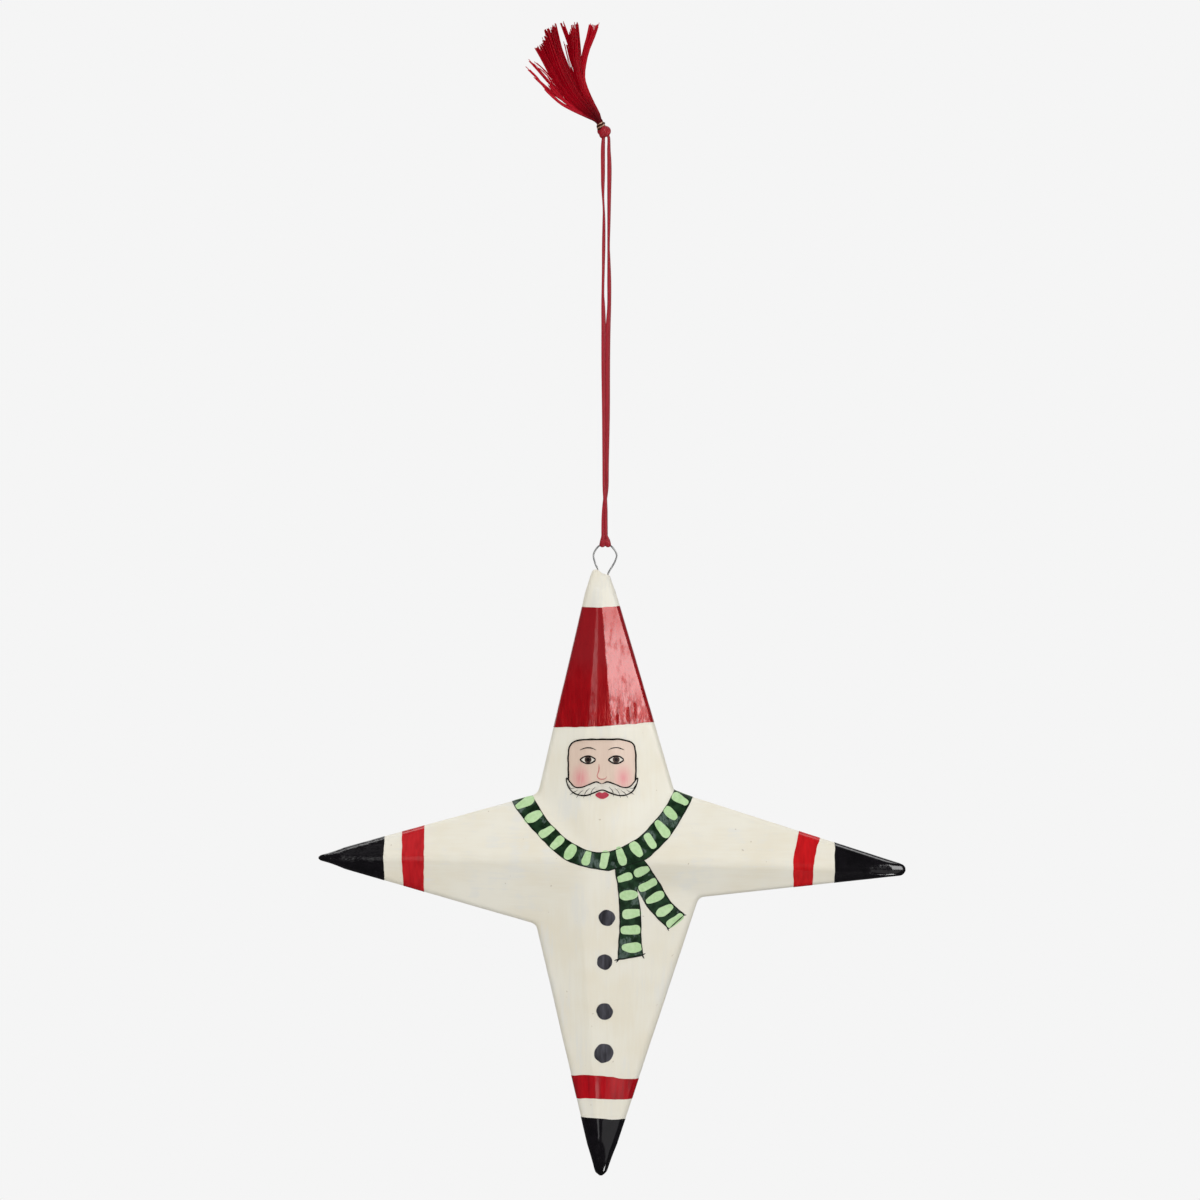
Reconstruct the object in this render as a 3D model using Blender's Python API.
"""Painted wooden star ornament on a doubled cord with a tassel, in its hanging pose.

Metres, +Z up. The origin is the hanging point, inside the top of the cord loop. The front of the star,
which carries the painted face, looks along -Y.
"""

import math

import bmesh
import bpy
from mathutils import Matrix, Vector

MM = 0.001

# Room kept between pieces that touch on the real object
FIT_GAP = 0.3 * MM

# Star corners, from its centre to where the straight edges meet, with the radius that rounds each one
HEAD_SIDE = -0.6 * MM
HEAD_RISE = 81.5 * MM
HEAD_ROUND = 2.85 * MM
UPPER_RIGHT_SIDE = 18.3 * MM
UPPER_RIGHT_RISE = 17.3 * MM
UPPER_RIGHT_ROUND = 1.8 * MM
RIGHT_REACH = 81.8 * MM
RIGHT_DROP = 3.1 * MM
RIGHT_ROUND = 1.5 * MM
LOWER_RIGHT_SIDE = 24.4 * MM
LOWER_RIGHT_DROP = 9.3 * MM
LOWER_RIGHT_ROUND = 2.0 * MM
FOOT_SIDE = -0.45 * MM
FOOT_DROP = 84.2 * MM
FOOT_ROUND = 1.95 * MM
LOWER_LEFT_SIDE = 16.3 * MM
LOWER_LEFT_DROP = 16.0 * MM
LOWER_LEFT_ROUND = 2.0 * MM
LEFT_REACH = 73.7 * MM
LEFT_RISE = 0.6 * MM
LEFT_ROUND = 1.1 * MM
UPPER_LEFT_SIDE = 15.9 * MM
UPPER_LEFT_RISE = 16.5 * MM
UPPER_LEFT_ROUND = 2.8 * MM

# Star section: a rounded edge band, and ridges that climb from the points to the middle of each face
EDGE_HALF_THICKNESS = 2.2 * MM
EDGE_ROUND = 1.2 * MM
RIDGE_RISE = 9.5 * MM
TIP_CUT = 1.0 * MM

# Ridges: thin near the points and broader towards the middle, where they meet left of and above the centre
RIDGE_MEET_SIDE = -1.5 * MM
RIDGE_MEET_RISE = 0.6 * MM
RIDGE_POINT_ROUND = 0.45 * MM
RIDGE_POINT_AT = 0.84
UPRIGHT_RIDGE_ROUND = 5.0 * MM
CROSS_RIDGE_ROUND = 1.2 * MM

# Wire eye in the flat cut on the head point
WIRE_DIAMETER = 0.55 * MM
EYE_RADIUS = 2.9 * MM
EYE_RISE = 3.8 * MM
EYE_SHIFT = 1.05 * MM
LEG_SPACING = 2.3 * MM
LEG_SHIFT = 0.25 * MM
LEG_DEPTH = 8.0 * MM

# Doubled cord
CORD_DIAMETER = 0.9 * MM
CORD_DROP = 101.35 * MM
STRAND_SPARE = 0.04 * MM
HITCH_HEIGHT = 3.0 * MM
HITCH_WRAP_SPACING = 1.9 * MM
HITCH_BAR_HEIGHT = 1.2 * MM
HITCH_BACK_SHARE = 0.7
HITCH_SHOULDER_SHARE = 0.75
KNOT_RADIUS = 1.5 * MM
KNOT_SIDE = -0.1 * MM
KNOT_GROOVE = 0.22 * MM
KNOT_GROOVE_SHARPNESS = 4

# Tassel, which leans to the left of upright
TASSEL_LEAN = math.radians(27.6)
NECK_RADIUS = 0.6 * MM
GOLD_DIAMETER = 0.3 * MM
GOLD_TURN_GAP = 0.42 * MM
GOLD_TURNS = 2.5
LOCK_FLATNESS = 0.75
LOCK_TIP_SHARE = 0.6
LOCK_FULL_AT = 0.7
LOCK_BEND_AT = 0.45

# Each lock of the tassel: leaving angle, angle and distance of its tip, half width, depth of its tip
LOCKS = {
    "low_wisp": (-64, -51, 23.0 * MM, 0.9 * MM, -1.2 * MM),
    "left_fringe": (-48, -41, 24.5 * MM, 1.3 * MM, 1.8 * MM),
    "left": (-37, -30, 26.0 * MM, 2.5 * MM, 0.8 * MM),
    "front": (-24, -23, 25.0 * MM, 1.9 * MM, -3.0 * MM),
    "back": (-30, -21, 25.0 * MM, 2.0 * MM, 3.0 * MM),
    "middle": (-24, -16, 25.8 * MM, 2.0 * MM, -0.8 * MM),
    "right": (-38, -1, 24.6 * MM, 0.95 * MM, 0.6 * MM),
}

# Route of the doubled cord from knot to hitch: share of the way, middle of the pair across, strand
# spacing over the least spacing, and turn of the pair in degrees
PAIR_ROUTE = (
    (0.00, 0.25 * MM, 1.10, 0),
    (0.05, 0.25 * MM, 1.20, 0),
    (0.15, 0.28 * MM, 1.12, 2),
    (0.27, 0.15 * MM, 1.12, 4),
    (0.39, 0.32 * MM, 1.10, 2),
    (0.51, 0.20 * MM, 1.04, 0),
    (0.63, 0.27 * MM, 1.02, 8),
    (0.75, 0.25 * MM, 1.00, 15),
    (0.85, 0.08 * MM, 1.00, 65),
    (0.92, 0.03 * MM, 1.00, 120),
    (0.97, 0.00 * MM, 1.00, 172),
    (1.00, 0.00 * MM, 1.00, 180),
)

# Facets
CORNER_STEPS = 8
RIM_STEPS = 5
DOME_STEPS = 5
CORE_MARGIN = 1.2
HOLE_SIDES = 16
EYE_STEPS = 36
STRAND_POINTS = 40
HITCH_POINTS = 56
LOOP_POINTS = 24
LOCK_SIDES = 10
LOCK_STEPS = 7
NECK_SIDES = 12
KNOT_SEGMENTS = 24
KNOT_RINGS = 16
PIVOT_DISPLAY = 5 * MM

# Sizes that follow from those above
STRAND_PITCH = CORD_DIAMETER + FIT_GAP + STRAND_SPARE
HOLE_RADIUS = WIRE_DIAMETER / 2 + FIT_GAP
WRAP_RADIUS = WIRE_DIAMETER / 2 + FIT_GAP + CORD_DIAMETER / 2
GOLD_PITCH = GOLD_DIAMETER + GOLD_TURN_GAP
GOLD_RADIUS = NECK_RADIUS + FIT_GAP + GOLD_DIAMETER / 2
NECK_START = KNOT_RADIUS + FIT_GAP
BINDING_SPAN = GOLD_TURNS * GOLD_PITCH + GOLD_DIAMETER
NECK_END = NECK_START + BINDING_SPAN + GOLD_DIAMETER
CROWN = Vector((0, 0, -CORD_DROP))
KNOT = Vector((KNOT_SIDE, 0, KNOT_RADIUS))


def clear_scene():
    for obj in list(bpy.data.objects):
        bpy.data.objects.remove(obj)


def make_material(name, color, roughness, metallic=0.0):
    material = bpy.data.materials.new(name)
    material.use_nodes = True
    shader = material.node_tree.nodes["Principled BSDF"]
    shader.inputs["Base Color"].default_value = (*color, 1)
    shader.inputs["Roughness"].default_value = roughness
    shader.inputs["Metallic"].default_value = metallic
    return material


def add_pivot(name, place, parent=None):
    pivot = bpy.data.objects.new(name, None)
    bpy.context.scene.collection.objects.link(pivot)
    pivot.empty_display_size = PIVOT_DISPLAY
    pivot.parent = parent
    pivot.location = place
    return pivot


def add_piece(name, data, material=None, parent=None, place=(0, 0, 0)):
    if material:
        data.materials.append(material)
    piece = bpy.data.objects.new(name, data)
    bpy.context.scene.collection.objects.link(piece)
    piece.parent = parent
    piece.location = place
    return piece


def make_helper(piece):
    piece.hide_render = True
    piece.display_type = "WIRE"
    return piece


def add_boolean(piece, other, operation):
    modifier = piece.modifiers.new(f"{operation.lower()}_{other.name}", "BOOLEAN")
    modifier.operation = operation
    modifier.solver = "EXACT"
    modifier.object = other


def mesh_from(bm, name, smooth_angle=40):
    bmesh.ops.recalc_face_normals(bm, faces=bm.faces)
    mesh = bpy.data.meshes.new(name)
    bm.to_mesh(mesh)
    bm.free()
    mesh.shade_smooth()
    mesh.set_sharp_from_angle(angle=math.radians(smooth_angle))
    return mesh


def bridge(bm, ring, other):
    """Quads between two rings of equally many vertices."""
    for i in range(len(ring)):
        j = (i + 1) % len(ring)
        bm.faces.new((ring[i], ring[j], other[j], other[i]))


def tube(name, points, diameter, resolution):
    """A round tube with capped ends along straight runs between points."""
    curve = bpy.data.curves.new(name, "CURVE")
    curve.dimensions = "3D"
    curve.bevel_depth = diameter / 2
    curve.bevel_resolution = resolution
    curve.use_fill_caps = True
    spline = curve.splines.new("POLY")
    spline.points.add(len(points) - 1)
    for spline_point, point in zip(spline.points, points):
        spline_point.co = (*point, 1)
    return curve


def smooth_curve(knots, count):
    """Points spread evenly over the spans of a Catmull-Rom curve through the given vectors."""
    ends = [2 * knots[0] - knots[1], *knots, 2 * knots[-1] - knots[-2]]
    spans = len(knots) - 1
    points = []
    for step in range(count):
        along = step / (count - 1) * spans
        span = min(int(along), spans - 1)
        t = along - span
        a, b, c, d = ends[span : span + 4]
        points.append(
            b
            + (c - a) * (t / 2)
            + (2 * a - 5 * b + 4 * c - d) * (t * t / 2)
            + (3 * b - a - 3 * c + d) * (t**3 / 2)
        )
    return points


def least_gap(points, diameter):
    """The least clear distance between a tube's turns, leaving out its neighbouring points."""
    nearby = LOOP_POINTS // 2
    return min(
        (points[i] - points[j]).length - diameter
        for i in range(len(points))
        for j in range(i + nearby, len(points))
    )


def star_corners():
    """The eight corners round the star, clockwise from the head, each with its rounding."""
    return [
        (Vector((HEAD_SIDE, 0, HEAD_RISE)), HEAD_ROUND),
        (Vector((UPPER_RIGHT_SIDE, 0, UPPER_RIGHT_RISE)), UPPER_RIGHT_ROUND),
        (Vector((RIGHT_REACH, 0, -RIGHT_DROP)), RIGHT_ROUND),
        (Vector((LOWER_RIGHT_SIDE, 0, -LOWER_RIGHT_DROP)), LOWER_RIGHT_ROUND),
        (Vector((FOOT_SIDE, 0, -FOOT_DROP)), FOOT_ROUND),
        (Vector((-LOWER_LEFT_SIDE, 0, -LOWER_LEFT_DROP)), LOWER_LEFT_ROUND),
        (Vector((-LEFT_REACH, 0, LEFT_RISE)), LEFT_ROUND),
        (Vector((-UPPER_LEFT_SIDE, 0, UPPER_LEFT_RISE)), UPPER_LEFT_ROUND),
    ]


def corner_shape(corners, index):
    """Unit vectors from a corner along its two edges, and half the angle between them."""
    corner = corners[index][0]
    to_before = (corners[index - 1][0] - corner).normalized()
    to_after = (corners[(index + 1) % len(corners)][0] - corner).normalized()
    return to_before, to_after, to_before.angle(to_after) / 2


def ridge_meet():
    """Where the four ridges meet, seen from the front."""
    return Vector((RIDGE_MEET_SIDE, 0, RIDGE_MEET_RISE))


def with_rounding(corners, upright, cross):
    """The corners with other roundings on the head and foot, and on the two side points."""
    roundings = [rounding for _, rounding in corners]
    roundings[0] = roundings[4] = upright
    roundings[2] = roundings[6] = cross
    return [(corner, rounding) for (corner, _), rounding in zip(corners, roundings)]


def star_ring(corners, scale):
    """The outline shrunk towards where the ridges meet, while its corners keep their rounding."""
    ring = []
    for index, (corner, rounding) in enumerate(corners):
        to_before, to_after, half = corner_shape(corners, index)
        shrunk = ridge_meet().lerp(corner, scale)
        centre = shrunk + (to_before + to_after).normalized() * rounding / math.sin(half)
        start = shrunk + to_before * rounding / math.tan(half) - centre
        end = shrunk + to_after * rounding / math.tan(half) - centre
        turn = start.rotation_difference(end)
        for step in range(CORNER_STEPS + 1):
            part_turn = Matrix.Rotation(turn.angle * step / CORNER_STEPS, 3, turn.axis)
            ring.append(centre + part_turn @ start)
    return ring


def core_scale(corners):
    """The smallest ring whose edges still hold the rounding at both their ends."""
    needed = []
    for index, (corner, rounding) in enumerate(corners):
        following = (index + 1) % len(corners)
        here = rounding / math.tan(corner_shape(corners, index)[2])
        there = corners[following][1] / math.tan(corner_shape(corners, following)[2])
        needed.append((here + there) / (corners[following][0] - corner).length)
    return CORE_MARGIN * max(needed)


def mean_edge_distance(corners):
    """How far the star's straight edges lie from where the ridges meet, on average."""
    distances = []
    for index, (corner, _) in enumerate(corners):
        edge = corners[(index + 1) % len(corners)][0] - corner
        distances.append((corner - ridge_meet()).cross(edge).length / edge.length)
    return sum(distances) / len(distances)


def half_star_rings(corners):
    """Rings of (x, height, z) from the middle plane up to the dome, and the height of the apex."""
    rim_share = EDGE_ROUND / mean_edge_distance(corners)
    rings = []
    for step in range(RIM_STEPS + 1):
        angle = step / RIM_STEPS * math.pi / 2
        scale = 1 - rim_share * (1 - math.cos(angle))
        height = EDGE_HALF_THICKNESS * math.sin(angle) + RIDGE_RISE * (1 - scale)
        rings.append([Vector((p.x, height, p.z)) for p in star_ring(corners, scale)])
    thin = with_rounding(corners, RIDGE_POINT_ROUND, RIDGE_POINT_ROUND)
    thin_height = EDGE_HALF_THICKNESS + RIDGE_RISE * (1 - RIDGE_POINT_AT)
    rings.append([Vector((p.x, thin_height, p.z)) for p in star_ring(thin, RIDGE_POINT_AT)])
    broad = with_rounding(corners, UPRIGHT_RIDGE_ROUND, CROSS_RIDGE_ROUND)
    core = core_scale(broad)
    core_ring = star_ring(broad, core)
    core_height = EDGE_HALF_THICKNESS + RIDGE_RISE * (1 - core)
    dome_rise = RIDGE_RISE * core / 2
    for step in range(DOME_STEPS):
        share = 1 - step / DOME_STEPS
        height = core_height + dome_rise * (1 - share * share)
        shrunk = [ridge_meet().lerp(p, share) for p in core_ring]
        rings.append([Vector((p.x, height, p.z)) for p in shrunk])
    return rings, core_height + dome_rise


def head_tip(corners):
    """Middle of the flat cut on the head point, where the wire enters."""
    outline = star_ring(corners, 1)
    middle = outline[CORNER_STEPS // 2]
    return Vector((middle.x, 0, max(point.z for point in outline) - TIP_CUT))


def build_star(corners, material, pivot, place):
    rings, apex = half_star_rings(corners)
    bm = bmesh.new()
    rim = [bm.verts.new(point) for point in rings[0]]
    for side in (-1, 1):
        lower = rim
        for ring in rings[1:]:
            upper = [bm.verts.new((p.x, side * p.y, p.z)) for p in ring]
            bridge(bm, lower, upper)
            lower = upper
        top = bm.verts.new(ridge_meet() + Vector((0, side * apex, 0)))
        for i in range(len(lower)):
            bm.faces.new((lower[i], lower[(i + 1) % len(lower)], top))
    cut = bmesh.ops.bisect_plane(
        bm,
        geom=bm.verts[:] + bm.edges[:] + bm.faces[:],
        plane_co=head_tip(corners),
        plane_no=(0, 0, 1),
        clear_outer=True,
    )
    bmesh.ops.contextual_create(bm, geom=[e for e in cut["geom_cut"] if isinstance(e, bmesh.types.BMEdge)])
    star = add_piece("star_body", mesh_from(bm, "star_body", 30), material, pivot, place)
    for index, leg in enumerate(wire_legs(corners)):
        add_boolean(star, leg_hole(f"leg_hole_{index + 1}", leg, pivot, place), "DIFFERENCE")


def wire_legs(corners):
    """Where the two wire legs enter the head point, left and right."""
    middle = head_tip(corners) + Vector((LEG_SHIFT, 0, 0))
    return [middle + Vector((side * LEG_SPACING / 2, 0, 0)) for side in (-1, 1)]


def leg_hole(name, entry, pivot, place):
    """A drill along a wire leg, standing out of the wood at the top."""
    depth = LEG_DEPTH + FIT_GAP
    above = HEAD_ROUND
    bm = bmesh.new()
    bmesh.ops.create_cone(
        bm,
        cap_ends=True,
        segments=HOLE_SIDES,
        radius1=HOLE_RADIUS,
        radius2=HOLE_RADIUS,
        depth=depth + above,
        matrix=Matrix.Translation(entry + Vector((0, 0, (above - depth) / 2))),
    )
    return make_helper(add_piece(name, mesh_from(bm, name), None, pivot, place))


def eye_centre(corners):
    return head_tip(corners) + Vector((LEG_SHIFT + EYE_SHIFT, 0, EYE_RISE))


def tangent_angle(entry, centre, side):
    """Angle on the eye's circle, from +X towards +Z, where a straight leg from entry runs into it."""
    offset = entry - centre
    towards = math.atan2(offset.z, offset.x)
    return towards + side * math.acos(EYE_RADIUS / offset.length)


def build_wire_eye(corners, material, pivot, place):
    left, right = wire_legs(corners)
    centre = eye_centre(corners)
    start = tangent_angle(left, centre, -1)
    end = tangent_angle(right, centre, 1)
    sweep = (start - end) % (2 * math.pi)
    foot = Vector((0, 0, -LEG_DEPTH))
    points = [left + foot, left]
    for step in range(EYE_STEPS + 1):
        angle = start - sweep * step / EYE_STEPS
        points.append(centre + EYE_RADIUS * Vector((math.cos(angle), 0, math.sin(angle))))
    points += [right, right + foot]
    add_piece("wire_eye", tube("wire_eye", points, WIRE_DIAMETER, 2), material, pivot, place)


def hitch_half(side):
    """Half of a lark's head, from a standing end, down behind the wire, under it and up to the bar."""
    stand = side * STRAND_PITCH / 2
    wrap = side * HITCH_WRAP_SPACING / 2
    knots = [
        Vector((stand, 0, HITCH_HEIGHT)),
        Vector((stand, 0, HITCH_HEIGHT - CORD_DIAMETER)),
        Vector(((stand + wrap) / 2, HITCH_BACK_SHARE * WRAP_RADIUS, HITCH_BAR_HEIGHT)),
    ]
    for degrees in (0, -45, -90, -135, -180):
        angle = math.radians(degrees)
        knots.append(Vector((wrap, WRAP_RADIUS * math.cos(angle), WRAP_RADIUS * math.sin(angle))))
    shoulder = Vector((wrap, 0, HITCH_BAR_HEIGHT)) * HITCH_SHOULDER_SHARE
    knots.append(shoulder - Vector((0, WRAP_RADIUS, 0)))
    return knots


def build_hitch(material, pivot):
    bar = Vector((0, -WRAP_RADIUS, HITCH_BAR_HEIGHT))
    knots = [*hitch_half(-1), bar, *reversed(hitch_half(1))]
    points = smooth_curve(knots, HITCH_POINTS)
    print(f"cord_hitch: least gap to itself {least_gap(points, CORD_DIAMETER) / MM:.2f} mm")
    add_piece("cord_hitch", tube("cord_hitch", points, CORD_DIAMETER, 2), material, pivot)


def strand_points(side):
    """Route of one strand, from the knot down to the hitch."""
    top = KNOT.z - KNOT_RADIUS - FIT_GAP
    bottom = CROWN.z + HITCH_HEIGHT + FIT_GAP
    points = []
    for way, middle, spread, turn in smooth_curve([Vector(row) for row in PAIR_ROUTE], STRAND_POINTS):
        reach = side * spread * STRAND_PITCH / 2
        angle = math.radians(turn)
        across = middle + reach * math.cos(angle)
        points.append(Vector((across, -reach * math.sin(angle), top + (bottom - top) * way)))
    return points


def build_strands(material):
    for name, side in (("cord_strand_left", -1), ("cord_strand_right", 1)):
        points = strand_points(side)
        length = sum((b - a).length for a, b in zip(points, points[1:]))
        print(f"{name}: {length / MM:.1f} mm long")
        add_piece(name, tube(name, points, CORD_DIAMETER, 2), material)


def build_knot(material):
    """A tight ball of cord with two slanting grooves between its turns."""
    bm = bmesh.new()
    bmesh.ops.create_uvsphere(
        bm, u_segments=KNOT_SEGMENTS, v_segments=KNOT_RINGS, radius=KNOT_RADIUS
    )
    slant = Vector((math.sin(TASSEL_LEAN), 0, math.cos(TASSEL_LEAN)))
    half_turn = CORD_DIAMETER / 2
    for vert in bm.verts:
        for level in (-half_turn, half_turn):
            off = (vert.co.dot(slant) - level) / half_turn
            vert.co -= vert.co.normalized() * KNOT_GROOVE * math.exp(-KNOT_GROOVE_SHARPNESS * off * off)
    add_piece("top_knot", mesh_from(bm, "top_knot"), material, None, KNOT)


def build_binding(material, pivot):
    """Metallic thread wound on the neck of the tassel, with straight ends."""
    count = round(GOLD_TURNS * LOOP_POINTS)
    points = []
    for step in range(count + 1):
        angle = 2 * math.pi * step / LOOP_POINTS
        rise = NECK_START + GOLD_DIAMETER / 2 + GOLD_PITCH * step / LOOP_POINTS
        points.append(Vector((GOLD_RADIUS * math.cos(angle), GOLD_RADIUS * math.sin(angle), rise)))
    first = points[0] + (points[0] - points[1]).normalized() * GOLD_DIAMETER
    last = points[-1] + (points[-1] - points[-2]).normalized() * GOLD_DIAMETER
    points = [first, *points, last]
    print(f"gold_binding: least gap to itself {least_gap(points, GOLD_DIAMETER) / MM:.2f} mm")
    binding = add_piece("gold_binding", tube("gold_binding", points, GOLD_DIAMETER, 1), material, pivot)
    binding.rotation_euler = (0, -TASSEL_LEAN, 0)


def lean_vector(degrees):
    """Unit vector in the plane of the star, turned from upright, positive to the right."""
    angle = math.radians(degrees)
    return Vector((math.sin(angle), 0, math.cos(angle)))


def lock_width(along, half_width):
    """Half width of a lock: the neck's radius, swelling to its full width, then gathered at the tip."""
    if along < LOCK_FULL_AT:
        t = along / LOCK_FULL_AT
        return NECK_RADIUS + (half_width - NECK_RADIUS) * t * t * (3 - 2 * t)
    t = (along - LOCK_FULL_AT) / (1 - LOCK_FULL_AT)
    return half_width * (1 - (1 - LOCK_TIP_SHARE) * t * t)


def lock_mesh(name, leave, tip_angle, length, half_width, depth):
    """A flattened, tapering lock of threads that bends from its leaving angle to its tip."""
    start = lean_vector(-math.degrees(TASSEL_LEAN)) * (NECK_END - NECK_RADIUS)
    bend = start + lean_vector(leave) * length * LOCK_BEND_AT
    tip = start + lean_vector(tip_angle) * length + Vector((0, depth, 0))
    bm = bmesh.new()
    rings = []
    for step in range(LOCK_STEPS + 1):
        t = step / LOCK_STEPS
        middle = start * (1 - t) ** 2 + bend * (2 * t * (1 - t)) + tip * t * t
        along = ((bend - start) * (1 - t) + (tip - bend) * t).normalized()
        across = along.cross(Vector((0, 1, 0))).normalized()
        through = across.cross(along)
        width = lock_width(t, half_width)
        ring = []
        for side in range(LOCK_SIDES):
            angle = 2 * math.pi * side / LOCK_SIDES
            offset = across * math.cos(angle) + through * math.sin(angle) * LOCK_FLATNESS
            ring.append(bm.verts.new(middle + offset * width))
        rings.append(ring)
    for ring, following in zip(rings, rings[1:]):
        bridge(bm, ring, following)
    bm.faces.new(rings[0])
    bm.faces.new(rings[-1])
    return mesh_from(bm, name)


def build_tassel(material, pivot):
    """The bundle of threads: a neck under the binding, and the locks that fan out of it."""
    bm = bmesh.new()
    bmesh.ops.create_cone(
        bm,
        cap_ends=True,
        segments=NECK_SIDES,
        radius1=NECK_RADIUS,
        radius2=NECK_RADIUS,
        depth=NECK_END - NECK_START,
        matrix=Matrix.Rotation(-TASSEL_LEAN, 4, "Y")
        @ Matrix.Translation((0, 0, (NECK_START + NECK_END) / 2)),
    )
    threads = add_piece("tassel_threads", mesh_from(bm, "tassel_threads"), material, pivot)
    for name, shape in LOCKS.items():
        lock = add_piece(f"lock_{name}", lock_mesh(name, *shape), None, pivot)
        add_boolean(threads, make_helper(lock), "UNION")


def main():
    clear_scene()
    paint = make_material("cream_paint", (0.80, 0.76, 0.66), 0.4)
    steel = make_material("galvanised_wire", (0.55, 0.55, 0.54), 0.35, 1.0)
    satin = make_material("red_cord", (0.36, 0.02, 0.03), 0.5)
    silk = make_material("red_silk", (0.22, 0.004, 0.012), 0.45)
    gold = make_material("gold_thread", (0.55, 0.34, 0.12), 0.35, 1.0)

    corners = star_corners()
    hitch_pivot = add_pivot("hitch_pivot", CROWN)
    star_pivot = add_pivot("star_pivot", (0, 0, 0), hitch_pivot)
    tassel_pivot = add_pivot("tassel_pivot", KNOT)
    star_place = -(eye_centre(corners) + Vector((0, 0, EYE_RADIUS)))

    build_star(corners, paint, star_pivot, star_place)
    build_wire_eye(corners, steel, star_pivot, star_place)
    build_hitch(satin, hitch_pivot)
    build_strands(satin)
    build_knot(satin)
    build_binding(gold, tassel_pivot)
    build_tassel(silk, tassel_pivot)


main()
